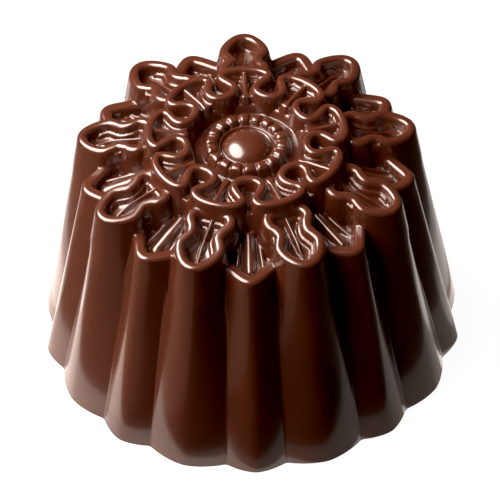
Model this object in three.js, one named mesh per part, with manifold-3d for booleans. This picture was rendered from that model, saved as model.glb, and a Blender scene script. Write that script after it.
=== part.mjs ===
import * as THREE from 'three';
import { mergeVertices } from 'three/addons/utils/BufferGeometryUtils.js';
import Module from 'manifold-3d';

// A moulded chocolate bonbon: a tapering fluted cup with a flower ornament on its top.
// Millimetres, +Z up, origin on the table under the middle of the base.

// Driving dimensions of the cup
const repeats = 9;                 // the whole ornament repeats every 40 degrees
const frontAngle = 270;            // a small petal points to -Y
const baseTipRadius = 15;          // flutes at the table
const baseValleyRadius = 14.3;
const bigFluteHalfAngle = 11.5;    // width of a flute at the table, in degrees
const smallFluteHalfAngle = 8.5;
const lobePower = 1.54;            // roundness of a flute's front
const cutDepth = 1;                // how far pieces reach below the table before the base is cut flat
const shortestEdge = 0.004;        // shorter edges left by joining are closed up

// Heights of the ornament
const bigTipCrest = 17.0;
const bigCrestRise = 0.36;         // rise of the big petals' rims for each millimetre inwards
const bigCrestBend = 0.035;        // how that rise eases off towards the lace
const bigTipRadius = 11.68;
const bigBasinDepth = 0.65;
const smallCrest = 15.85;
const smallBasinDepth = 0.72;
const deckHeight = 15;             // top of the core between the petals
const deckOverlap = 0.1;           // how far a petal's wall reaches into the deck
const laceCrest = 18.5;
const laceFall = 0.04;             // fall of the lace for each millimetre outwards
const laceMiddleRadius = 5.3;
const laceFoot = 14.8;
const plateauHeight = 17.5;

// The rounded rim of a petal, below its crest line
const outerEdgeDrop = 0.05;
const innerEdgeDrop = 0.03;

// The back of a flute leans inwards, out of sight in the core
const backLean = 0.97;
const backNarrowing = 0.9;

// Half outlines of the petals' rims, tip first, as [distance from the axis, half width]
const bigPetalLine = [
  [11.68, 0], [11.35, 0.6], [11.0, 0.93], [10.45, 1.28], [9.9, 1.4], [9.4, 1.2], [8.98, 1.0],
  [8.45, 1.1], [7.95, 1.38], [7.5, 1.38], [7.08, 1.05], [7.0, 0],
];
const smallPetalLine = [
  [11.45, 0], [11.2, 0.3], [10.6, 0.9], [9.95, 1.55], [9.35, 2.1], [8.4, 2.1], [7.4, 1.6],
  [6.5, 1.0], [6.2, 0],
];

// The lace is one closed ribbon; [distance from the axis, degrees from the middle of an arch]
const laceLine = [
  [4.24, 0], [4.4, 7.3], [4.77, 10.7], [5.17, 10.5], [5.58, 8], [6.0, 5.1], [6.31, 4.5],
  [6.56, 5.9], [6.74, 9], [6.84, 14], [6.87, 20],
];
const laceStations = 21 * repeats;

// Section across the lace as [sideways, drop below its crest], down to its foot on both sides
const laceSection = [
  [0.34, null], [0.27, 0.24], [0.13, 0.02], [-0.13, 0.02], [-0.27, 0.24], [-0.34, null],
];

// Turned pieces as [radius, height]
const coreProfile = [
  [0, -1.5], [13.95, -1.5], [10.15, deckHeight], [6.95, deckHeight], [6.82, plateauHeight],
  [3.6, plateauHeight - 0.1], [3.52, 17.05], [0, 17.0],
];
const coreSegments = 40;
const domeProfile = [
  [0, 16.5], [1.85, 16.5], [1.78, 17.45], [1.6, 17.75], [1.2, 18.0], [0.65, 18.13], [0, 18.17],
];
const domeSegments = 24;

// Section of the ring round the dome as [radius, height, depth of its notches]
const ringSection = [
  [3.0, 16.8, 0], [2.9, 17.55, 0.12], [2.68, 17.82, 0.22], [2.3, 17.9, 0.24],
  [2.02, 17.72, 0.2], [1.95, 16.8, 0],
];
const ringNotches = 2 * repeats;
const notchSpacing = 4;            // columns from one notch to the next
const firstNotchAngle = 3;

// Half outline of the rib in each lobe of the lace, outer end first, as [distance, half width]
const ribLine = [[6.95, 0.2], [4.52, 0.2], [4.13, 0.35]];
const ribFoot = 16.5;
const ribHeight = 18.2;            // at its inner end
const ribRise = 0.03;              // rise for each millimetre outwards
const ribChamfer = 0.25;
const ribTopNarrowing = 0.55;

const radians = (degrees) => THREE.MathUtils.degToRad(degrees);
const polar = (radius, degrees) => [
  radius * Math.cos(radians(degrees)),
  radius * Math.sin(radians(degrees)),
];

function surface(positions, index) {
  const geometry = new THREE.BufferGeometry();
  geometry.setAttribute('position', new THREE.Float32BufferAttribute(positions, 3));
  geometry.setIndex(index);
  return geometry;
}

// A closed surface from loops with equally many points, the first one lowest and outermost.
// The first loop is closed by a fan, and the last one lies folded on a line or is closed too.
function loopStack(loops, closeLast) {
  const count = loops[0].length;
  const positions = loops.flat(2);
  const index = [];
  for (let level = 0; level < loops.length - 1; level++) {
    for (let i = 0; i < count; i++) {
      const a = level * count + i;
      const b = level * count + ((i + 1) % count);
      index.push(a, b, b + count, a, b + count, a + count);
    }
  }
  const addFan = (first, facesUp) => {
    const middle = positions.length / 3;
    const sum = [0, 0, 0];
    for (let i = 0; i < count; i++) {
      for (let axis = 0; axis < 3; axis++) {
        sum[axis] += positions[3 * (first + i) + axis] / count;
      }
    }
    positions.push(...sum);
    for (let i = 0; i < count; i++) {
      const a = first + i;
      const b = first + ((i + 1) % count);
      if (facesUp) index.push(a, b, middle);
      else index.push(b, a, middle);
    }
  };
  addFan(0, false);
  if (closeLast) addFan((loops.length - 1) * count, true);
  return surface(positions, index);
}

// A closed band: the loops go round the axis, and the last one joins the first one again
function closedBand(loops) {
  const count = loops[0].length;
  const index = [];
  for (let level = 0; level < loops.length; level++) {
    const next = (level + 1) % loops.length;
    for (let i = 0; i < count; i++) {
      const j = (i + 1) % count;
      index.push(level * count + i, level * count + j, next * count + j);
      index.push(level * count + i, next * count + j, next * count + i);
    }
  }
  return surface(loops.flat(2), index);
}

// A profile of [radius, height] turned round the axis
function turned(profile, segments) {
  const points = profile.map(([radius, height]) => new THREE.Vector2(radius, height));
  return new THREE.LatheGeometry(points, segments).rotateX(Math.PI / 2);
}

// Smooth closed plan curve through a half outline and its mirror image
function mirroredLoop(halfLine, count) {
  const mirrored = halfLine.slice(1, -1).reverse().map(([x, y]) => [x, -y]);
  const points = [...halfLine, ...mirrored].map(([x, y]) => new THREE.Vector3(x, y, 0));
  const curve = new THREE.CatmullRomCurve3(points, true, 'centripetal');
  return curve.getSpacedPoints(count).slice(0, count).map((point) => [point.x, point.y]);
}

// Plan loop moved sideways; positive distances move it outwards
function offsetLoop(loop, distance) {
  const count = loop.length;
  return loop.map(([x, y], i) => {
    const before = loop[(i + count - 1) % count];
    const after = loop[(i + 1) % count];
    const dx = after[0] - before[0];
    const dy = after[1] - before[1];
    const length = Math.hypot(dx, dy);
    return [x + (distance * dy) / length, y - (distance * dx) / length];
  });
}

// Plan loop moved inwards, kept on its own side of the petal's axis and short of both ends
function insetLoop(loop, distance) {
  const endSetback = distance * Math.SQRT2;
  const outerEnd = loop[0][0] - endSetback;
  const innerEnd = Math.min(...loop.map(([x]) => x)) + endSetback;
  return offsetLoop(loop, -distance).map(([x, y], i) => {
    const side = Math.sign(loop[i][1]);
    const depth = side === 0 ? 0 : side * Math.max(0, y * side);
    return [THREE.MathUtils.clamp(x, innerEnd, outerEnd), depth];
  });
}

// Radius of a flute's front at the table
function lobeRadius(degrees, halfAngle) {
  const share = Math.abs(degrees) / halfAngle;
  return baseValleyRadius + (baseTipRadius - baseValleyRadius) * (1 - share ** lobePower);
}

// The flute's outline at the table: a lobe in front, and a back that stays inside the core
function tableLoop(foot, shape) {
  const count = foot.length;
  const spread = shape.halfAngle * shape.overlap;
  return foot.map(([x, y], i) => {
    const step = Math.min(i, count - i);
    if (step > shape.frontPoints) return [x * backLean, y * backNarrowing];
    const degrees = (Math.sign(count / 2 - i) * spread * step) / shape.frontPoints;
    return polar(lobeRadius(degrees, shape.halfAngle), degrees);
  });
}

// The flute's outline at the deck, where the petal's inner walls spread a little
function deckLoop(foot, table, shape) {
  const count = foot.length;
  const innerEnd = Math.min(...foot.map(([x]) => x)) - shape.backOverlap;
  const spreadFoot = offsetLoop(foot, shape.deckOffset).map(([x, y]) => [Math.max(x, innerEnd), y]);
  return foot.map(([x, y], i) => {
    const step = Math.min(i, count - i);
    if (step > shape.frontPoints) return spreadFoot[i];
    const share = (shape.crest(x) - shape.footDrop - deckHeight + deckOverlap) / bigTipCrest;
    return [x + (table[i][0] - x) * share, y + (table[i][1] - y) * share];
  });
}

// The flute's outline below the table
function lowestLoop(foot, table) {
  const share = 1 + cutDepth / bigTipCrest;
  return foot.map(([x, y], i) => {
    return [x + (table[i][0] - x) * share, y + (table[i][1] - y) * share];
  });
}

// One flute with its petal: a loft from a lobe at the table to the rim, the basin and its ridge
function flute(shape) {
  const rim = mirroredLoop(shape.line, shape.points);
  const foot = offsetLoop(rim, shape.footOffset);
  const table = tableLoop(foot, shape);
  const inner = insetLoop(rim, shape.basinInset);
  const ridgeFoot = inner.map(([x, y]) => {
    return [x, THREE.MathUtils.clamp(y, -shape.ridgeHalf, shape.ridgeHalf)];
  });
  const spine = ridgeFoot.map(([x]) => [x, 0]);
  const outerEnd = inner[0][0];
  const basin = (x) => shape.crest(x) - shape.basinDepth;
  const ridge = (x) => {
    const fade = THREE.MathUtils.smoothstep(outerEnd - x, 0, shape.ridgeFade);
    return basin(x) + shape.ridgeHeight * fade;
  };
  const raise = (loop, height) => loop.map(([x, y]) => [x, y, height(x)]);
  return loopStack([
    raise(lowestLoop(foot, table), () => -cutDepth),
    raise(deckLoop(foot, table, shape), () => deckHeight - deckOverlap),
    raise(foot, (x) => shape.crest(x) - shape.footDrop),
    raise(offsetLoop(rim, shape.crestHalf), (x) => shape.crest(x) - outerEdgeDrop),
    raise(offsetLoop(rim, -shape.crestHalf), (x) => shape.crest(x) - innerEdgeDrop),
    raise(inner, basin),
    raise(ridgeFoot, basin),
    raise(spine, ridge),
  ], false);
}

function bigFlute() {
  const crest = (x) => {
    const inwards = bigTipRadius - Math.min(x, bigTipRadius);
    return bigTipCrest + bigCrestRise * inwards - bigCrestBend * inwards ** 2;
  };
  return flute({
    line: bigPetalLine,
    points: 32,
    frontPoints: 6,
    halfAngle: bigFluteHalfAngle,
    overlap: 1.3,
    crest,
    crestHalf: 0.13,
    footOffset: 0.3,
    footDrop: 0.4,
    deckOffset: 0.3,
    backOverlap: 0.03,
    basinDepth: bigBasinDepth,
    basinInset: 0.4,
    ridgeHalf: 0.22,
    ridgeHeight: 0.42,
    ridgeFade: 0.9,
  });
}

function smallFlute() {
  return flute({
    line: smallPetalLine,
    points: 20,
    frontPoints: 5,
    halfAngle: smallFluteHalfAngle,
    overlap: 1.4,
    crest: () => smallCrest,
    crestHalf: 0.17,
    footOffset: 0.36,
    footDrop: 0.45,
    deckOffset: 0.1,
    backOverlap: 0.03,
    basinDepth: smallBasinDepth,
    basinInset: 0.42,
    ridgeHalf: 0.42,
    ridgeHeight: 0.42,
    ridgeFade: 0.4,
  });
}

// Middle line of the lace in plan, once round the axis
function laceMiddle() {
  const points = [];
  for (let repeat = 0; repeat < repeats; repeat++) {
    const archAngle = (360 / repeats) * repeat;
    const turn = (list, side) => list.map(([radius, degrees]) => {
      return polar(radius, archAngle + side * degrees);
    });
    points.push(...turn(laceLine.slice(1, -1).reverse(), -1));
    points.push(...turn(laceLine, 1));
  }
  const corners = points.map(([x, y]) => new THREE.Vector3(x, y, 0));
  const curve = new THREE.CatmullRomCurve3(corners, true);
  return curve.getSpacedPoints(laceStations).slice(0, laceStations).map(({ x, y }) => [x, y]);
}

// Closed ribbon with a rounded top that meanders between arches and lobes
function lace() {
  const middle = laceMiddle();
  const crest = ([x, y]) => laceCrest - laceFall * (Math.hypot(x, y) - laceMiddleRadius);
  return closedBand(laceSection.map(([sideways, drop]) => {
    return offsetLoop(middle, sideways).map(([x, y], i) => {
      return [x, y, drop === null ? laceFoot : crest(middle[i]) - drop];
    });
  }));
}

// Ring round the dome with a row of notches across it
function notchedRing() {
  const columns = notchSpacing * ringNotches;
  return closedBand(ringSection.map(([radius, height, notchDepth]) => {
    const loop = [];
    for (let i = 0; i < columns; i++) {
      const [x, y] = polar(radius, (360 / columns) * i + firstNotchAngle);
      loop.push([x, y, i % notchSpacing === 0 ? height - notchDepth : height]);
    }
    return loop;
  }));
}

// Radial rib that stands in each lobe of the lace
function rib() {
  const outline = [...ribLine, ...ribLine.map(([x, y]) => [x, -y]).reverse()];
  const height = (x) => ribHeight + ribRise * (x - ribLine.at(-1)[0]);
  return loopStack([
    outline.map(([x, y]) => [x, y, ribFoot]),
    outline.map(([x, y]) => [x, y, height(x) - ribChamfer]),
    outline.map(([x, y]) => [x, y * ribTopNarrowing, height(x)]),
  ], true);
}

const wasm = await Module();
wasm.setup();

function toSolid(geometry) {
  const bare = geometry.clone();
  bare.deleteAttribute('normal');
  bare.deleteAttribute('uv');
  const merged = mergeVertices(bare, 1e-4);
  const corners = merged.index.array;
  const triangles = [];
  for (let i = 0; i < corners.length; i += 3) {
    const [a, b, c] = corners.slice(i, i + 3);
    if (a !== b && b !== c && c !== a) triangles.push(a, b, c);
  }
  return new wasm.Manifold(new wasm.Mesh({
    numProp: 3,
    vertProperties: new Float32Array(merged.attributes.position.array),
    triVerts: new Uint32Array(triangles),
  }));
}

// Copies of a piece turned round the axis, the first one at the given angle
function around(geometry, firstAngle) {
  const copies = [];
  for (let repeat = 0; repeat < repeats; repeat++) {
    const turn = radians(firstAngle + (360 / repeats) * repeat);
    copies.push(toSolid(geometry.clone().rotateZ(turn)));
  }
  return copies;
}

// The base is cut flat at the table by this block
function tableBlock() {
  const side = 4 * baseTipRadius;
  const height = 10 * cutDepth;
  return toSolid(new THREE.BoxGeometry(side, side, height).translate(0, 0, -height / 2));
}

function bonbonSolid() {
  const bigAngle = frontAngle + 180 / repeats;
  const pieces = [
    toSolid(turned(coreProfile, coreSegments)),
    ...around(smallFlute(), frontAngle),
    ...around(bigFlute(), bigAngle),
    toSolid(lace().rotateZ(radians(frontAngle))),
    ...around(rib(), bigAngle),
    toSolid(notchedRing()),
    toSolid(turned(domeProfile, domeSegments)),
  ];
  return pieces.reduce((whole, piece) => whole.add(piece)).subtract(tableBlock());
}

// Joining leaves a few edges of some micrometres; each is closed up into one corner
function withoutShortEdges({ vertProperties, triVerts }) {
  const distance = (a, b) => Math.hypot(...[0, 1, 2].map((axis) => {
    return vertProperties[3 * a + axis] - vertProperties[3 * b + axis];
  }));
  let triangles = [];
  for (let i = 0; i < triVerts.length; i += 3) triangles.push([...triVerts.slice(i, i + 3)]);
  let closed = true;
  while (closed) {
    closed = false;
    const neighbours = new Map();
    triangles.forEach((triangle) => triangle.forEach((corner) => {
      if (!neighbours.has(corner)) neighbours.set(corner, new Set());
      triangle.forEach((other) => neighbours.get(corner).add(other));
    }));
    for (const [a, b] of triangles.flatMap(([p, q, r]) => [[p, q], [q, r], [r, p]])) {
      if (distance(a, b) > shortestEdge) continue;
      const shared = [...neighbours.get(a)].filter((corner) => neighbours.get(b).has(corner));
      if (shared.length !== 4) continue;
      triangles = triangles.map((triangle) => triangle.map((corner) => (corner === b ? a : corner)));
      triangles = triangles.filter(([p, q, r]) => p !== q && q !== r && r !== p);
      closed = true;
      break;
    }
  }
  return triangles.flat();
}

function toGeometry(solid) {
  const mesh = solid.getMesh();
  const geometry = new THREE.BufferGeometry();
  geometry.setAttribute('position', new THREE.BufferAttribute(mesh.vertProperties, 3));
  geometry.setIndex(withoutShortEdges(mesh));
  geometry.computeVertexNormals();
  return geometry;
}

const chocolate = new THREE.MeshStandardMaterial({ color: 0x3b1a14, roughness: 0.25, metalness: 0 });
const bonbon = new THREE.Mesh(toGeometry(bonbonSolid()), chocolate);
bonbon.name = 'bonbon';

const group = new THREE.Group();
group.add(bonbon);

export default group;
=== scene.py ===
import math

import bpy
import numpy as np
from mathutils import Matrix, Vector


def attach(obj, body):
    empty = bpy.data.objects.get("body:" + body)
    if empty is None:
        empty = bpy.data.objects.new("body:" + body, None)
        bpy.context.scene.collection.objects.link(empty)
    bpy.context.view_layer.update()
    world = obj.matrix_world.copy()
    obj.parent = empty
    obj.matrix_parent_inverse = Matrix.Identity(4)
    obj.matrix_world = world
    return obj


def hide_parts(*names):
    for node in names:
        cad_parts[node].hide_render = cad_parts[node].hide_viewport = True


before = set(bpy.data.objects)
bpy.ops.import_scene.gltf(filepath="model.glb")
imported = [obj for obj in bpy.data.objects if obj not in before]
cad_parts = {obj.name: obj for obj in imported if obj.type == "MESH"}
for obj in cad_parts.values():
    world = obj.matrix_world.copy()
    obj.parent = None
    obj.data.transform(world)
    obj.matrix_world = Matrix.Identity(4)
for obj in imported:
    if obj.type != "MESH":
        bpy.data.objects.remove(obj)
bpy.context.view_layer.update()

# Everything about the shape is in millimetres until the mesh is made
mm = 0.001
farBelow = -5.0      # a height that never shows

# The bonbon: one moulded piece. Change values here, then run the script again
bonbon = {
    "repeats": 9,
    "smallPetalAngle": 270.0,      # degrees, a small petal points at the viewer
    "wallSlope": 4.6,              # steepness of the mould's walls
    # flutes
    "baseTip": 15.0,               # radius of the flutes on the table
    "baseValley": 14.3,
    "bigFluteHalf": 11.5,          # degrees
    "smallFluteHalf": 8.5,
    "lobePower": 1.54,             # how round a flute's front is
    "bigSpread": 1.3,
    "smallSpread": 1.4,
    "bigFrontLength": 2.3,         # how much of a petal's outline the flute hangs from
    "smallFrontLength": 2.6,
    "valleyTurn": 1.5,             # degrees and millimetres of a flute's hidden edge
    "valleyFall": 3.5,
    "valleyFillet": 0.05,
    "coreFoot": 13.9,              # radius of the plain cone behind the valleys
    "coreTop": 10.15,
    # big petals
    "bigTip": 11.68,
    "bigCrest": 17.0,              # height of the rim at the tip, then how it climbs inwards
    "bigRise": 0.04,
    "bigBend": 0.07,
    "bigEase": 0.0095,
    "bigFoot": 0.3,                # how far the flute's edge stands off the rim's middle line
    "bigFootDrop": 0.4,
    "bigRimRound": 0.32,
    "bigRimFlat": 0.06,
    "bigRimFillet": 0.16,
    "bigBasin": 0.9,
    "bigBowl": (0.1, 0.3, 1.0),    # depth, and where the bowl begins and ends
    "bigRidge": 0.45,
    "bigRidgeHalf": 0.08,
    "bigRidgeSlope": 2.6,
    "bigRidgeFade": (0.7, 2.2),    # distance from the tip
    "bigRidgeFillet": 0.05,
    "bigStep": 0.62,
    "bigStepWidth": 0.5,
    "bigStepEdge": (0.1, 0.02, 3.0),
    "bigStepEnd": (1.2, 10.5, 11.3),    # fall, and where it begins and ends
    "bigStepFillet": 0.06,
    # small petals
    "smallCrest": 15.85,
    "smallFoot": 0.46,
    "smallFootDrop": 0.45,
    "smallRimRound": 0.34,
    "smallRimFlat": 0.12,
    "smallRimFillet": 0.1,
    "smallBasin": 0.82,
    "tongue": 0.32,
    "tongueHalf": 0.38,
    "tongueFlat": 0.04,
    "tongueSlope": 3.0,
    "tongueSpan": (7.0, 10.45),    # distances from the axis
    "tongueClimb": 0.27,
    "tongueLevel": 10.3,           # the climb begins here
    "tongueFillet": 0.08,
    "besideNear": 0.62,            # the thin lines beside the tongue
    "besideSpread": 0.12,
    "besideRise": 0.07,
    "besideEdge": (0.12, 0.02, 2.4),
    "besideEnd": 10.2,
    "besideFall": 3.0,
    "besideFillet": 0.03,
    # fillets, and how steeply the walls go down beside and below the petals
    "petalSlope": 6.0,
    "underSlope": 8.0,
    "sideFillet": 0.04,
    "petalFillet": 0.3,
    "deckFillet": 0.35,
    "laceFillet": 0.12,
    # deck and plateau
    "deck": 15.0,
    "plateau": 17.5,
    "plateauFall": 0.03,
    "plateauMiddle": 5.0,
    "plateauEdge": 6.84,
    "plateauSlope": 9.0,
    "plateauFillet": 0.25,
    "plateauFoot": 0.15,
    "trenchOuter": 3.68,
    "trenchFloor": 16.95,
    "trenchSlope": 2.2,
    "trenchRounding": 0.3,
    # lace
    "laceCrest": 18.5,
    "laceFall": 0.04,
    "laceMiddle": 5.3,
    "laceRound": 0.26,
    "laceFlat": 0.05,
    "laceSteps": ((0.5, 0.4), (0.75, 0.62)),    # depth and distance of the steps inside a lobe
    "laceStepEdge": (0.08, 0.0, 3.0),
    "laceStepFillet": 0.04,
    "laceFoot": 0.05,
    "ribTop": 18.15,
    "ribTilt": 0.06,
    "ribMiddle": 5.0,
    "ribSpan": (4.3, 6.9),
    "ribFlare": (0.1, 4.9, 0.6),   # extra width, where it begins and over what length
    "ribEdge": (0.17, 0.02, 2.6),
    # middle
    "middleEdge": 3.25,
    "domeRadius": 1.72,
    "domeTop": 18.05,
    "domeEdge": 17.2,
    "domeShape": (2.3, 0.62),
    "domeSlope": 6.0,
    "lipRadius": 1.9,
    "lipTop": 17.5,
    "lipEdge": (0.06, 0.0, 3.0),
    "beadRadius": 2.47,
    "beadHalf": 0.12,
    "beadTop": 17.9,
    "beadEdge": (0.32, 0.0, 4.0),
    "beadTurn": 3.0,               # degrees
    "beadSpacing": 20.0,
    "notch": (0.15, 0.13),         # depth and half width of the cut, then of the bead's shoulders
    "shoulder": (0.05, 0.42),
    "moatRadius": 2.3,             # inside it the floor is as high as the dome's edge
    "domeFillet": 0.05,
    "beadFillet": 0.08,
    "moatFillet": 0.03,
    "middleFillet": 0.05,
    # mesh
    "columns": 720,
    "fewColumns": 360,
    "circleRows": 88,
    "edgeRows": 28,
    "middleRows": 30,
    "sideRows": 14,
    "circleLift": 0.7,             # how much a climb draws the rows together
    "edgeLift": 0.6,
    "middleLift": 0.6,
    "middleEnd": 3.3,              # the middle is measured up to here, the ornament from here on
    "ornamentEnd": 12.6,
    "ringEnd": 10.35,              # circles up to here, then rows that follow the petals
    "switchLevel": 14.4,           # below this height the flutes' own rows begin
}

# Half outlines, tip first: distance from the axis, half width
bigPetalLine = [(11.68, 0), (11.58, 0.42), (11.3, 0.78), (10.95, 1.05), (10.45, 1.3),
                (9.9, 1.4), (9.4, 1.2), (8.98, 1.0), (8.45, 1.1), (7.95, 1.38),
                (7.5, 1.38), (7.08, 1.05), (7.0, 0)]
smallPetalLine = [(11.34, 0), (11.26, 0.28), (11.02, 0.58), (10.55, 1.02), (9.95, 1.55),
                  (9.35, 2.1), (8.4, 2.1), (7.4, 1.6), (6.5, 1.0), (6.2, 0)]
# The lace: distance from the axis, degrees from the middle of an arch
laceLine = [(4.24, 0), (4.4, 7.3), (4.77, 10.7), (5.17, 10.5), (5.58, 8), (6.0, 5.1),
            (6.31, 4.5), (6.56, 5.9), (6.74, 9), (6.84, 14), (6.87, 20)]
halfSector = 180.0 / bonbon["repeats"]


def smoothLine(points, before, after, perSpan=14):
    # a smooth curve through the points; before and after are the mirrored neighbours
    pts = [np.array(p, float) for p in [before, *points, after]]
    out = []
    for i in range(1, len(pts) - 2):
        p0, p1, p2, p3 = pts[i - 1:i + 3]
        t0 = 0.0
        t1 = t0 + max(np.linalg.norm(p1 - p0), 1e-6) ** 0.5
        t2 = t1 + max(np.linalg.norm(p2 - p1), 1e-6) ** 0.5
        t3 = t2 + max(np.linalg.norm(p3 - p2), 1e-6) ** 0.5
        for t in np.linspace(t1, t2, perSpan, endpoint=False):
            a1 = (t1 - t) / (t1 - t0) * p0 + (t - t0) / (t1 - t0) * p1
            a2 = (t2 - t) / (t2 - t1) * p1 + (t - t1) / (t2 - t1) * p2
            a3 = (t3 - t) / (t3 - t2) * p2 + (t - t2) / (t3 - t2) * p3
            b1 = (t2 - t) / (t2 - t0) * a1 + (t - t0) / (t2 - t0) * a2
            b2 = (t3 - t) / (t3 - t1) * a2 + (t - t1) / (t3 - t1) * a3
            out.append((t2 - t) / (t2 - t1) * b1 + (t - t1) / (t2 - t1) * b2)
    out.append(pts[-2])
    return np.array(out)


def halfOutline(points):
    flip = lambda p: (p[0], -p[1])
    return smoothLine(points, flip(points[1]), flip(points[-2]))


def polarPoint(radius, degrees):
    return radius * math.cos(math.radians(degrees)), radius * math.sin(math.radians(degrees))


def laceOutline():
    pts = [polarPoint(r, a) for r, a in laceLine]
    before = polarPoint(laceLine[1][0], -laceLine[1][1])
    after = polarPoint(laceLine[-2][0], 2 * halfSector - laceLine[-2][1])
    return smoothLine(pts, before, after)


def distanceTo(line, x, y):
    # shortest distance from each point to a polyline
    px, py = x.ravel(), y.ravel()
    best = np.full(px.shape, 1e9)
    for (ax, ay), (bx, by) in zip(line[:-1], line[1:]):
        dx, dy = bx - ax, by - ay
        length2 = dx * dx + dy * dy + 1e-12
        t = np.clip(((px - ax) * dx + (py - ay) * dy) / length2, 0, 1)
        best = np.minimum(best, (px - ax - t * dx) ** 2 + (py - ay - t * dy) ** 2)
    return np.sqrt(best).reshape(x.shape)


def capDrop(d, rounding, flat, slope):
    # how far a rounded ridge has fallen at a distance d from its middle line
    d = np.maximum(np.abs(d) - flat, 0)
    turn = rounding * slope / np.sqrt(1 + slope * slope)
    roundPart = rounding - np.sqrt(np.maximum(rounding ** 2 - np.minimum(d, turn) ** 2, 0))
    return roundPart + slope * np.maximum(d - turn, 0)


def smoothMax(a, b, k):
    h = np.clip(0.5 + 0.5 * (a - b) / k, 0, 1)
    return b + (a - b) * h + k * h * (1 - h)


def smoothMin(a, b, k):
    return -smoothMax(-a, -b, k)


def smoothStep(x, lo, hi):
    t = np.clip((x - lo) / (hi - lo), 0, 1)
    return t * t * (3 - 2 * t)


bigLine = halfOutline(bigPetalLine)
smallLine = halfOutline(smallPetalLine)
laceCurve = laceOutline()
laceRadii = np.hypot(laceCurve[:, 0], laceCurve[:, 1])
laceAngles = np.degrees(np.arctan2(laceCurve[:, 1], laceCurve[:, 0]))


def insideOutline(line, x, y):
    order = np.argsort(line[:, 0])
    half = np.interp(x, line[order, 0], line[order, 1], left=-1, right=-1)
    return y < half


def offsetLine(line, distance):
    tangent = np.gradient(line, axis=0)
    tangent /= np.linalg.norm(tangent, axis=1)[:, None]
    return line + distance * np.stack([tangent[:, 1], -tangent[:, 0]], axis=1)


def bigCrest(x):
    b = bonbon
    inwards = b["bigTip"] - np.minimum(x, b["bigTip"])
    climb = b["bigRise"] * inwards + b["bigBend"] * inwards ** 2 - b["bigEase"] * inwards ** 3
    return b["bigCrest"] + climb


def bigFootHeight(x):
    return bigCrest(x) - bonbon["bigFootDrop"]


def smallFootHeight(x):
    return 0 * x + bonbon["smallCrest"] - bonbon["smallFootDrop"]


def fluteCurves(line, footOffset, footHeight, halfAngle, spread, frontLength):
    # straight lines from the petal's foot down to a lobe on the table
    b = bonbon
    foot = offsetLine(line, footOffset)
    foot[0, 1] = 0
    pieces = np.linalg.norm(np.diff(line, axis=0), axis=1)
    along = np.concatenate([[0], np.cumsum(pieces)])
    share = np.linspace(0, 1, 60)
    fx = np.interp(share * frontLength, along, foot[:, 0])
    fy = np.interp(share * frontLength, along, foot[:, 1])
    degrees = share * halfAngle * spread
    lobe = 1 - (degrees / halfAngle) ** b["lobePower"]
    radius = b["baseValley"] + (b["baseTip"] - b["baseValley"]) * lobe
    tx = radius * np.cos(np.radians(degrees))
    ty = radius * np.sin(np.radians(degrees))
    return fx, fy, footHeight(fx), tx, ty


def fluteRadius(curves, z, angle):
    # radius of the flute's front at each height z, seen at one angle
    fx, fy, fz, tx, ty = curves
    out = []
    for level in z:
        share = level / fz
        x = tx + (fx - tx) * share
        y = ty + (fy - ty) * share
        a = np.degrees(np.arctan2(y, x))
        r = np.hypot(x, y)
        a = np.append(a, a[-1] + bonbon["valleyTurn"])
        r = np.append(r, r[-1] - bonbon["valleyFall"])
        out.append(np.interp(angle, a, r))
    return np.array(out)


bigFront = fluteCurves(bigLine, bonbon["bigFoot"], bigFootHeight, bonbon["bigFluteHalf"],
                       bonbon["bigSpread"], bonbon["bigFrontLength"])
smallFront = fluteCurves(smallLine, bonbon["smallFoot"], smallFootHeight, bonbon["smallFluteHalf"],
                         bonbon["smallSpread"], bonbon["smallFrontLength"])

# The flutes as tables of radius: a row for each angle, a column for each height
sideLevels = np.linspace(0, bonbon["bigCrest"], 171)
sideAngles = np.linspace(0, halfSector, 81)
levelStep, angleStep = sideLevels[1], sideAngles[1]
bigTable = np.array([fluteRadius(bigFront, sideLevels, a) for a in sideAngles])
smallTable = np.array([fluteRadius(smallFront, sideLevels, halfSector - a) for a in sideAngles])
coreTaper = bonbon["coreTop"] - bonbon["coreFoot"]
coreTable = bonbon["coreFoot"] + coreTaper * sideLevels[None, :] / bonbon["deck"] + 0 * bigTable
sideTable = smoothMax(np.maximum(bigTable, coreTable), smallTable, bonbon["valleyFillet"])


def sideRadius(z, a):
    # outer radius of the cup at height z and angle a from a big petal's axis
    z, a = np.broadcast_arrays(np.asarray(z, float), np.asarray(a, float))
    i = np.clip(a / angleStep, 0, len(sideAngles) - 1.001)
    j = np.clip(z / levelStep, 0, len(sideLevels) - 1.001)
    i0, j0 = i.astype(int), j.astype(int)
    u, v = i - i0, j - j0
    low = (1 - u) * (1 - v) * sideTable[i0, j0] + u * (1 - v) * sideTable[i0 + 1, j0]
    high = (1 - u) * v * sideTable[i0, j0 + 1] + u * v * sideTable[i0 + 1, j0 + 1]
    return low + high


def tableHeight(table, r, a, top):
    # height of a flute's front over a point in plan
    i = np.clip(a / angleStep, 0, len(sideAngles) - 1.001)
    i0 = i.astype(int)
    u = (i - i0)[..., None]
    curve = (1 - u) * table[i0] + u * table[i0 + 1]
    inside = curve >= r[..., None]
    last = np.clip(inside.sum(-1) - 1, 0, len(sideLevels) - 2)
    r0 = np.take_along_axis(curve, last[..., None], -1)[..., 0]
    r1 = np.take_along_axis(curve, last[..., None] + 1, -1)[..., 0]
    share = np.clip((r0 - r) / np.maximum(r0 - r1, 1e-6), 0, 1)
    z = sideLevels[last] + share * levelStep
    z = np.where(inside.any(-1), z, farBelow)
    return np.minimum(z, top)


def rimOf(line, x, y, crest, rounding, flat):
    # a petal's rim, its signed distance (minus inside) and what lies inside it
    b = bonbon
    d = distanceTo(line, x, y)
    inside = insideOutline(line, x, y)
    slope = np.where(inside, b["wallSlope"], b["petalSlope"])
    return crest - capDrop(d, rounding, flat, slope), np.where(inside, -d, d), inside


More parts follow.
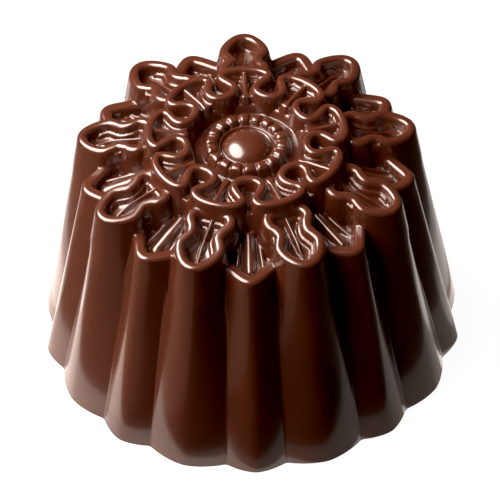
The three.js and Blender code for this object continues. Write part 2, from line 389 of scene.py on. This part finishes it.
def withFlute(top, table, r, a, footHeight, footOffset, signed):
    # the flute's front below a petal
    side = tableHeight(table, r, a, footHeight)
    side = side - bonbon["underSlope"] * np.maximum(footOffset - signed, 0)
    return smoothMax(top, side, bonbon["sideFillet"])


def bigPetal(r, a):
    b = bonbon
    x, y = r * np.cos(np.radians(a)), r * np.sin(np.radians(a))
    crest = bigCrest(x)
    rim, signed, inside = rimOf(bigLine, x, y, crest, b["bigRimRound"], b["bigRimFlat"])
    d = np.abs(signed)
    # the basin is a bowl with a thin spine, and a step along each side near the lace
    bowl, bowlStart, bowlEnd = b["bigBowl"]
    floor = crest - b["bigBasin"] - bowl * smoothStep(d, bowlStart, bowlEnd)
    fade = smoothStep(b["bigTip"] - x, *b["bigRidgeFade"])
    ridge = floor + b["bigRidge"] * fade
    ridge = ridge - capDrop(y, b["bigRidgeHalf"], 0.0, b["bigRidgeSlope"])
    ledgeDistance = np.maximum(d - b["bigStepWidth"], 0)
    ledge = crest - b["bigStep"] - capDrop(ledgeDistance, *b["bigStepEdge"])
    ledgeFall, ledgeStart, ledgeEnd = b["bigStepEnd"]
    ledge = ledge - ledgeFall * smoothStep(x, ledgeStart, ledgeEnd)
    basin = smoothMax(smoothMax(floor, ridge, b["bigRidgeFillet"]), ledge, b["bigStepFillet"])
    top = smoothMax(rim, np.where(inside, basin, farBelow), b["bigRimFillet"])
    return withFlute(top, bigTable, r, a, crest - b["bigFootDrop"], b["bigFoot"], signed)


def smallPetal(r, a):
    b = bonbon
    t = halfSector - a
    x, y = r * np.cos(np.radians(t)), r * np.sin(np.radians(t))
    crest = b["smallCrest"]
    rim, signed, inside = rimOf(smallLine, x, y, crest, b["smallRimRound"], b["smallRimFlat"])
    floor = np.where(inside, crest - b["smallBasin"], farBelow)
    # the tongue is a long rounded bar on the axis that climbs inwards
    inner, outer = b["tongueSpan"][0] + b["tongueHalf"], b["tongueSpan"][1] - b["tongueHalf"]
    tongueDistance = np.hypot(x - np.clip(x, inner, outer), y)
    climb = b["tongueClimb"] * np.maximum(b["tongueLevel"] - x, 0)
    tongue = crest - b["smallBasin"] + b["tongue"] + climb
    tongue = tongue - capDrop(tongueDistance, b["tongueHalf"] - b["tongueFlat"],
                              b["tongueFlat"], b["tongueSlope"])
    # a thin line runs along each side of it
    beside = b["besideNear"] + b["besideSpread"] * (x - inner)
    line = crest - b["smallBasin"] + b["besideRise"] - capDrop(y - beside, *b["besideEdge"])
    beyond = np.maximum(inner - x, 0) + np.maximum(x - b["besideEnd"], 0)
    line = line + climb - b["besideFall"] * beyond
    tongue = smoothMax(tongue, line, b["besideFillet"])
    top = smoothMax(rim, smoothMax(floor, tongue, b["tongueFillet"]), b["smallRimFillet"])
    foot = crest - b["smallFootDrop"]
    return withFlute(top, smallTable, r, a, foot, b["smallFoot"], signed)


def deckAndPlateau(r, a):
    b = bonbon
    deck = tableHeight(coreTable, r, a, b["deck"])
    plateau = b["plateau"] - b["plateauFall"] * (r - b["plateauMiddle"])
    wall = b["plateau"] - b["plateauSlope"] * (r - b["plateauEdge"])
    plateau = smoothMin(plateau, wall, b["plateauFillet"])
    trench = b["trenchFloor"] + b["trenchSlope"] * np.maximum(r - b["trenchOuter"], 0)
    plateau = smoothMin(plateau, trench, b["trenchRounding"])
    return smoothMax(deck, plateau, b["plateauFoot"])


def lace(r, a):
    b = bonbon
    t = halfSector - a
    x, y = r * np.cos(np.radians(t)), r * np.sin(np.radians(t))
    d = distanceTo(laceCurve, x, y)
    crest = b["laceCrest"] - b["laceFall"] * (r - b["laceMiddle"])
    ribbon = crest - capDrop(d, b["laceRound"], b["laceFlat"], b["wallSlope"])
    inLobe = (t > np.interp(r, laceRadii, laceAngles)) & (r < laceRadii[-1]) & (r > laceRadii[0])
    # steps run along the ribbon's foot inside each lobe
    ledges = [crest - depth - capDrop(np.maximum(d - width, 0), *b["laceStepEdge"])
              for depth, width in b["laceSteps"]]
    steps = np.where(inLobe, smoothMax(*ledges, b["laceStepFillet"]), farBelow)
    # the rib on the lobe's axis
    bx, by = r * np.cos(np.radians(a)), r * np.sin(np.radians(a))
    ribFlare, flareStart, flareLength = b["ribFlare"]
    flare = ribFlare * smoothStep(flareStart - bx, 0, flareLength)
    ends = np.maximum(b["ribSpan"][0] - bx, 0) + np.maximum(bx - b["ribSpan"][1], 0)
    ribDistance = np.hypot(np.maximum(by - flare, 0), ends)
    rib = b["ribTop"] + b["ribTilt"] * (bx - b["ribMiddle"]) - capDrop(ribDistance, *b["ribEdge"])
    return smoothMax(smoothMax(ribbon, steps, b["laceFoot"]), rib, b["laceFillet"])


def middle(r, phi):
    # dome, a thin lip round it and the beaded ring
    b = bonbon
    share = np.clip(r / b["domeRadius"], 0, 1)
    bend, close = b["domeShape"]
    dome = b["domeEdge"] + (b["domeTop"] - b["domeEdge"]) * (1 - share ** bend) ** close
    wall = b["domeEdge"] - b["domeSlope"] * (r - b["domeRadius"])
    dome = np.where(r < b["domeRadius"], dome, wall)
    lip = b["lipTop"] - capDrop(r - b["lipRadius"], *b["lipEdge"])
    beadDistance = np.maximum(np.abs(r - b["beadRadius"]) - b["beadHalf"], 0)
    section = b["beadTop"] - capDrop(beadDistance, *b["beadEdge"])
    turns = (phi - b["beadTurn"]) / b["beadSpacing"]
    fromNotch = np.abs((turns + 0.5) % 1.0 - 0.5) * b["beadSpacing"]    # degrees
    across = np.radians(fromNotch) * r
    section = section - (b["notch"][0] * np.exp(-(across / b["notch"][1]) ** 2)
                         + b["shoulder"][0] * (1 - np.clip(across / b["shoulder"][1], 0, 1)) ** 2)
    moat = np.where(r < b["moatRadius"], b["domeEdge"], b["trenchFloor"]) + 0 * r
    return smoothMax(smoothMax(dome, lip, b["domeFillet"]),
                     smoothMax(section, moat, b["beadFillet"]), b["moatFillet"])


def height(r, a, phi):
    # height of the top over a point in plan, a degrees from a big petal's axis
    b = bonbon
    top = smoothMax(bigPetal(r, a), smallPetal(r, a), b["petalFillet"])
    top = smoothMax(top, deckAndPlateau(r, a), b["deckFillet"])
    top = smoothMax(top, lace(r, a), b["laceFillet"])
    centre = smoothMax(middle(r, phi), b["trenchFloor"] + 0 * r, b["middleFillet"])
    return np.where(r < b["middleEdge"], centre, top)


def fold(phi):
    # angle from the nearest big petal's axis
    t = (phi - bonbon["smallPetalAngle"]) % (2 * halfSector)
    return np.abs(t - halfSector)


print("bonbon: measuring the ornament")
fineR = np.arange(bonbon["middleEnd"], bonbon["ornamentEnd"], 0.01)
halfA = np.linspace(0, halfSector, bonbon["columns"] // (2 * bonbon["repeats"]) + 1)
gridR, gridA = np.meshgrid(fineR, halfA)
topFine = height(gridR, gridA, 0 * gridA)


def spread(r, z, count, lift):
    # radii so that the rows lie evenly along the surface; lift says how much a climb counts
    weight = np.sqrt(np.diff(r) ** 2 + (lift * np.diff(z)) ** 2)
    along = np.concatenate([[0], np.cumsum(weight)])
    return np.interp(np.linspace(0, along[-1], count), along, r)


def ornamentRows():
    # radius of each row in each column of half a sector
    ringEnd, switchLevel = bonbon["ringEnd"], bonbon["switchLevel"]
    inner = fineR <= ringEnd
    climb = np.abs(np.diff(topFine[:, inner], axis=1)).mean(0)
    meanHeight = np.concatenate([[0], np.cumsum(climb)])
    circles = spread(fineR[inner], meanHeight, bonbon["circleRows"], bonbon["circleLift"])
    rows = []
    for z in topFine:
        below = np.nonzero(z < switchLevel)[0][0]
        count = below - inner.sum() + 1
        r, h = fineR[~inner][:count].copy(), z[~inner][:count].copy()
        share = (h[-2] - switchLevel) / (h[-2] - h[-1])
        r[-1] = r[-2] + share * (r[-1] - r[-2])
        h[-1] = switchLevel
        r = np.concatenate([[ringEnd], r])
        h = np.concatenate([[z[inner][-1]], h])
        edge = spread(r, h, bonbon["edgeRows"] + 1, bonbon["edgeLift"])
        rows.append(np.concatenate([circles, edge[1:]]))
    return np.array(rows)


rowsR = ornamentRows()
topRows = rowsR.shape[1]

print("bonbon: building the mesh")
columns = bonbon["columns"]
phiAll = bonbon["smallPetalAngle"] + np.arange(columns) * 360.0 / columns
columnOf = np.rint(fold(phiAll) / (halfA[1] - halfA[0])).astype(int)
few = bonbon["fewColumns"]
phiFew = bonbon["smallPetalAngle"] + np.arange(few) * 360.0 / few
verts, normals, faces = [], [], []
axis = np.array([0.0])


def heightAt(x, y):
    r = np.hypot(x, y)
    phi = np.degrees(np.arctan2(y, x))
    return height(r, fold(phi), phi)


def unit(n):
    return n / np.linalg.norm(n, axis=-1)[..., None]


def topNormals(x, y, eps=0.02):
    gx = (heightAt(x + eps, y) - heightAt(x - eps, y)) / (2 * eps)
    gy = (heightAt(x, y + eps) - heightAt(x, y - eps)) / (2 * eps)
    return unit(np.stack([-gx, -gy, np.ones_like(gx)], -1))


def sideNormals(phi, z, eps=0.05, turn=0.2):
    r = sideRadius(z, fold(phi))
    dz = (sideRadius(z + eps, fold(phi)) - sideRadius(z - eps, fold(phi))) / (2 * eps)
    dp = (sideRadius(z, fold(phi + turn)) - sideRadius(z, fold(phi - turn))) / np.radians(2 * turn)
    c, s = np.cos(np.radians(phi)), np.sin(np.radians(phi))
    return unit(np.stack([c + dp / r * s, s - dp / r * c, -dz], -1))


def ringPoints(r, phi):
    return r * np.cos(np.radians(phi)), r * np.sin(np.radians(phi))


def addLoop(x, y, z, n):
    first = sum(len(v) for v in verts)
    verts.append(np.stack([x, y, z], -1))
    normals.append(n)
    return first


def addPoint(z, facing):
    # one point on the bonbon's axis
    return addLoop(axis, axis, z, np.array([[0, 0, facing]]))


def stitch(first, second, count, z=None):
    # a square is cut along the diagonal that climbs least, so steep walls stay clean
    for i in range(count):
        j = (i + 1) % count
        if z is None:
            faces.append((first + i, second + i, second + j, first + j))
        elif abs(z[0][i] - z[1][j]) < abs(z[1][i] - z[0][j]):
            faces.append((first + i, second + i, second + j))
            faces.append((first + i, second + j, first + j))
        else:
            faces.append((first + i, second + i, first + j))
            faces.append((second + i, second + j, first + j))


def stitchTwice(coarse, fine, count, coarseAbove):
    # one coarse edge against two fine ones
    for i in range(count):
        j = (i + 1) % count
        a, m, c = fine + 2 * i, fine + 2 * i + 1, fine + (2 * i + 2) % (2 * count)
        for face in ((coarse + i, a, m), (coarse + i, m, coarse + j), (coarse + j, m, c)):
            faces.append(face if coarseAbove else face[::-1])


def buildMiddle():
    # from the axis out to the trench, measured along the middle of a bead
    b = bonbon
    fine = np.linspace(0.0, b["middleEnd"], 661)
    beadAngle = b["beadTurn"] + b["beadSpacing"] / 2
    z = height(fine, 0 * fine, beadAngle + 0 * fine)
    radii = spread(fine, z, b["middleRows"] + 1, b["middleLift"])[1:]
    centre = addPoint(height(axis, axis, axis), 1.0)
    previous = None
    for radius in radii:
        x, y = ringPoints(radius + 0 * phiFew, phiFew)
        first = addLoop(x, y, heightAt(x, y), topNormals(x, y))
        if previous is None:
            for i in range(few):
                faces.append((centre, first + i, first + (i + 1) % few))
        else:
            stitch(previous, first, few)
        previous = first
    return previous


def buildOrnament(previous):
    # half a sector is worked out, then mirrored and repeated round the bonbon
    b = bonbon
    halfColumns = np.repeat(halfA[:, None], topRows, 1)
    halfZ = height(rowsR, halfColumns, 0 * rowsR)
    eps = 0.02
    turn = np.degrees(eps / rowsR)
    foldHalf = lambda t: halfSector - np.abs(halfSector - np.abs(t))
    outward = height(rowsR + eps, halfColumns, 0 * rowsR)
    inward = height(rowsR - eps, halfColumns, 0 * rowsR)
    onward = height(rowsR, foldHalf(halfColumns + turn), 0 * rowsR)
    backward = height(rowsR, foldHalf(halfColumns - turn), 0 * rowsR)
    slopeR = (outward - inward) / (2 * eps)
    slopeT = (onward - backward) / (2 * eps)
    slopeT[[0, -1]] = 0
    localAngle = (phiAll - b["smallPetalAngle"]) % (2 * halfSector) - halfSector
    side = np.sign(np.round(localAngle, 6))
    c, s = np.cos(np.radians(phiAll)), np.sin(np.radians(phiAll))
    loops = []
    for row in range(1, topRows):
        x, y = ringPoints(rowsR[columnOf, row], phiAll)
        sr, st = slopeR[columnOf, row], slopeT[columnOf, row] * side
        n = unit(np.stack([-(sr * c - st * s), -(sr * s + st * c), np.ones_like(sr)], -1))
        loops.append(addLoop(x, y, halfZ[columnOf, row], n))
    stitchTwice(previous, loops[0], few, True)
    for row, (p, q) in enumerate(zip(loops[:-1], loops[1:]), 1):
        stitch(p, q, columns, (halfZ[columnOf, row], halfZ[columnOf, row + 1]))
    return loops[-1]


def buildFlutes(last):
    # from the ornament's edge down to the table, where the normals are measured just above it
    lowest = 0.06
    shares = np.linspace(0, 1, bonbon["sideRows"] + 1)[1:]
    previous = None
    for level in bonbon["switchLevel"] * (1 - shares):
        x, y = ringPoints(sideRadius(level, fold(phiFew)), phiFew)
        n = sideNormals(phiFew, max(level, lowest) + 0 * phiFew)
        first = addLoop(x, y, level + 0 * x, n)
        if previous is None:
            stitchTwice(first, last, few, False)
        else:
            stitch(previous, first, few)
        previous = first
    return previous


footLoop = buildFlutes(buildOrnament(buildMiddle()))
bottom = addPoint(axis, -1.0)
bottomFirst = len(faces)
for i in range(few):
    faces.append((bottom, footLoop + (i + 1) % few, footLoop + i))


def makeShell():
    points = np.concatenate(verts)
    mesh = bpy.data.meshes.new("bonbonShell")
    mesh.from_pydata((points * mm).tolist(), [], faces)
    mesh.polygons.foreach_set("use_smooth", [True] * len(mesh.polygons))
    cornerVerts = np.zeros(len(mesh.loops), np.int32)
    mesh.loops.foreach_get("vertex_index", cornerVerts)
    cornerNormals = np.concatenate(normals)[cornerVerts]
    cornerNormals[mesh.polygons[bottomFirst].loop_start:] = (0, 0, -1)
    mesh.normals_split_custom_set(cornerNormals.tolist())
    mesh.update()
    shell = bpy.data.objects.new("bonbonShell", mesh)
    bpy.context.scene.collection.objects.link(shell)
    triangles = sum(len(f) - 2 for f in faces)
    print("bonbon:", len(points), "points,", triangles, "triangles")
    return shell


shell = makeShell()

# Chocolate: dark and glossy, with a thin harder gloss over a softer one
chocolateLook = {
    "colour": (0.061, 0.0165, 0.0086),
    "darker": 0.85,                # the colour drifts between these two
    "lighter": 1.12,
    "driftScale": 180,
    "driftDetail": 3,
    "driftRange": (0.3, 0.7),
    "roughness": 0.26,
    "ior": 1.5,
    "coat": 0.7,
    "coatRoughness": 0.12,
    "subsurface": 0.08,
    "subsurfaceRadius": (1.0, 0.35, 0.2),
    "subsurfaceDepth": 0.6,        # millimetres
    "bumpScale": 500,
    "bumpDetail": 2,
    "bumpStrength": 0.05,
    "bumpHeight": 0.1,             # millimetres
}


def noiseNode(nodes, scale, detail):
    noise = nodes.new("ShaderNodeTexNoise")
    noise.inputs["Scale"].default_value = scale
    noise.inputs["Detail"].default_value = detail
    return noise


def chocolateMaterial():
    look = chocolateLook
    mat = bpy.data.materials.new("chocolate")
    mat.use_nodes = True
    nodes, links = mat.node_tree.nodes, mat.node_tree.links
    bsdf = nodes["Principled BSDF"]
    bsdf.inputs["Roughness"].default_value = look["roughness"]
    bsdf.inputs["IOR"].default_value = look["ior"]
    bsdf.inputs["Coat Weight"].default_value = look["coat"]
    bsdf.inputs["Coat Roughness"].default_value = look["coatRoughness"]
    bsdf.inputs["Subsurface Weight"].default_value = look["subsurface"]
    bsdf.inputs["Subsurface Radius"].default_value = look["subsurfaceRadius"]
    bsdf.inputs["Subsurface Scale"].default_value = look["subsurfaceDepth"] * mm
    coords = nodes.new("ShaderNodeTexCoord")
    drift = noiseNode(nodes, look["driftScale"], look["driftDetail"])
    ramp = nodes.new("ShaderNodeValToRGB")
    for stop, position, share in zip(ramp.color_ramp.elements, look["driftRange"],
                                     (look["darker"], look["lighter"])):
        stop.position = position
        stop.color = (*[part * share for part in look["colour"]], 1)
    links.new(coords.outputs["Object"], drift.inputs["Vector"])
    links.new(drift.outputs["Fac"], ramp.inputs["Fac"])
    links.new(ramp.outputs["Color"], bsdf.inputs["Base Color"])
    fine = noiseNode(nodes, look["bumpScale"], look["bumpDetail"])
    bump = nodes.new("ShaderNodeBump")
    bump.inputs["Strength"].default_value = look["bumpStrength"]
    bump.inputs["Distance"].default_value = look["bumpHeight"] * mm
    links.new(coords.outputs["Object"], fine.inputs["Vector"])
    links.new(fine.outputs["Fac"], bump.inputs["Height"])
    links.new(bump.outputs["Normal"], bsdf.inputs["Normal"])
    return mat


shell.data.materials.append(chocolateMaterial())
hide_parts("bonbon")
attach(shell, "root")
print("bonbon: ready")

# Table top: plain pale paper that glows a little, so the shadow stays faint
tableLook = {
    "radius": 300.0,
    "thickness": 0.4,
    "sides": 160,
    "colour": (0.08, 0.079, 0.078),
    "glow": (0.965, 0.965, 0.965),
    "roughness": 0.9,
}


def paperMaterial():
    mat = bpy.data.materials.new("paper")
    mat.use_nodes = True
    bsdf = mat.node_tree.nodes["Principled BSDF"]
    bsdf.inputs["Base Color"].default_value = (*tableLook["colour"], 1)
    bsdf.inputs["Roughness"].default_value = tableLook["roughness"]
    bsdf.inputs["Specular IOR Level"].default_value = 0.0
    bsdf.inputs["Emission Color"].default_value = (*tableLook["glow"], 1)
    bsdf.inputs["Emission Strength"].default_value = 1.0
    return mat


def makeTable():
    look = tableLook
    bpy.ops.mesh.primitive_cylinder_add(vertices=look["sides"], radius=look["radius"] * mm,
                                        depth=look["thickness"] * mm,
                                        location=(0, 0, -look["thickness"] / 2 * mm))
    table = bpy.context.object
    table.name = "tableTop"
    table.data.materials.append(paperMaterial())
    # the lamps below stand for the light that it sends back up
    table.visible_glossy = False
    table.visible_diffuse = False


makeTable()
print("table: ready")

# Lamps: position and size in millimetres, power in watts
warm = (1.0, 0.88, 0.8)
neutral = (1.0, 0.93, 0.89)
warmTable = (1.0, 0.56, 0.4)
lamps = {
    "softbox": {"at": (-114, 6, 166), "size": (240, 172), "power": 1.6, "tint": warm,
                "disk": True},
    "backLeft": {"at": (-90, 70, 152), "size": (44, 44), "power": 0.1, "tint": neutral,
                 "disk": True},
    # the light that the table sends back up: a pale ring close to the foot, and dimmer and
    # warmer further out
    "tableLeft": {"at": (-46, -24, 0.02), "size": (68, 54), "power": 0.0033,
                  "tint": warmTable, "up": True},
    "tableBackLeft": {"at": (-37, 32, 0.03), "size": (50, 58), "power": 0.0033,
                      "tint": warmTable, "up": True},
    "tableRight": {"at": (42, -8, 0.02), "size": (50, 64), "power": 0.0005,
                   "tint": warmTable, "up": True},
    "tableFoot": {"at": (1.0, 1.5, 0.04), "size": (41, 37), "power": 0.0013, "tint": warm,
                  "up": True, "disk": True},
    "footLeft": {"at": (-2.5, 2.3, 0.05), "size": (35.8, 35.8), "power": 0.0031,
                 "tint": warm, "up": True, "disk": True},
    "edgeLeft": {"at": (-19.5, 16, 0.06), "size": (8, 30), "power": 0.0006,
                 "tint": neutral, "up": True},
    "edgeRight": {"at": (20, 15, 0.06), "size": (8, 34), "power": 0.0005,
                  "tint": neutral, "up": True},
    # lifts the side away from the softbox, without highlights
    "fill": {"at": (120, 190, 50), "size": (160, 110), "power": 0.15, "tint": warm,
             "gloss": False},
}
lampTarget = (0, 0, 12)


def makeLamp(name, at, size, power, tint, up=False, disk=False, gloss=True):
    light = bpy.data.lights.new(name, "AREA")
    light.shape = "ELLIPSE" if disk else "RECTANGLE"
    light.size = size[0] * mm
    light.size_y = size[1] * mm
    light.energy = power
    light.color = tint
    lamp = bpy.data.objects.new(name, light)
    lamp.location = Vector(at) * mm
    lamp.visible_glossy = gloss
    if up:
        lamp.rotation_euler = (math.pi, 0, 0)
        lamp.visible_camera = False
    else:
        aim = Vector(lampTarget) * mm - lamp.location
        lamp.rotation_mode = "QUATERNION"
        lamp.rotation_quaternion = aim.to_track_quat("-Z", "Y")
    bpy.context.scene.collection.objects.link(lamp)


for name, values in lamps.items():
    makeLamp(name, **values)
print("lamps: ready")

# A dim room with pale walls: a soft band above the horizon, which the flutes reflect from the side
roomLook = {
    "dim": (0.027, 0.021, 0.018),
    "walls": (0.16, 0.14, 0.125),
    "stops": ((0.0, "dim"), (0.07, "walls"), (0.2, "walls"), (0.42, "dim")),
}


def makeRoom():
    world = bpy.data.worlds.new("room")
    bpy.context.scene.world = world
    world.use_nodes = True
    nodes, links = world.node_tree.nodes, world.node_tree.links
    direction = nodes.new("ShaderNodeTexCoord")
    parts = nodes.new("ShaderNodeSeparateXYZ")
    band = nodes.new("ShaderNodeValToRGB")
    band.color_ramp.interpolation = "EASE"
    while len(band.color_ramp.elements) < len(roomLook["stops"]):
        band.color_ramp.elements.new(0.5)
    for stop, (position, shade) in zip(band.color_ramp.elements, roomLook["stops"]):
        stop.position = position
        stop.color = (*roomLook[shade], 1)
    links.new(direction.outputs["Generated"], parts.inputs["Vector"])
    links.new(parts.outputs["Z"], band.inputs["Fac"])
    links.new(band.outputs["Color"], nodes["Background"].inputs["Color"])


makeRoom()
print("room: ready")

# Camera, placed where the photographer stood
cameraSetup = {
    "y": -215.06,
    "z": 228.84,
    "pitch": 0.801,       # radians below the horizon
    "roll": -0.030,
    "focalPixels": 4328.0,
    "imagePixels": 500.0,
    "sensor": 36.0,
    "clip": (0.01, 10),   # metres
}


def makeCamera():
    c = cameraSetup
    data = bpy.data.cameras.new("camera")
    data.sensor_width = c["sensor"]
    data.lens = c["focalPixels"] / c["imagePixels"] * c["sensor"]
    data.clip_start, data.clip_end = c["clip"]
    cam = bpy.data.objects.new("camera", data)
    pitch, roll = c["pitch"], c["roll"]
    forward = Vector((0, math.cos(pitch), -math.sin(pitch)))
    right = Vector((1, 0, 0))
    up = right.cross(forward)
    turnedRight = math.cos(roll) * right + math.sin(roll) * up
    turnedUp = -math.sin(roll) * right + math.cos(roll) * up
    rotation = Matrix((turnedRight, turnedUp, -forward)).transposed().to_4x4()
    rotation.translation = Vector((0, c["y"] * mm, c["z"] * mm))
    cam.matrix_world = rotation
    bpy.context.scene.collection.objects.link(cam)
    bpy.context.scene.camera = cam


def setView():
    view = bpy.context.scene.view_settings
    view.view_transform = "Standard"
    view.use_curve_mapping = True
    view.curve_mapping.black_level = (0.006, 0.006, 0.006)
    view.curve_mapping.update()


makeCamera()
setView()
print("camera: ready")
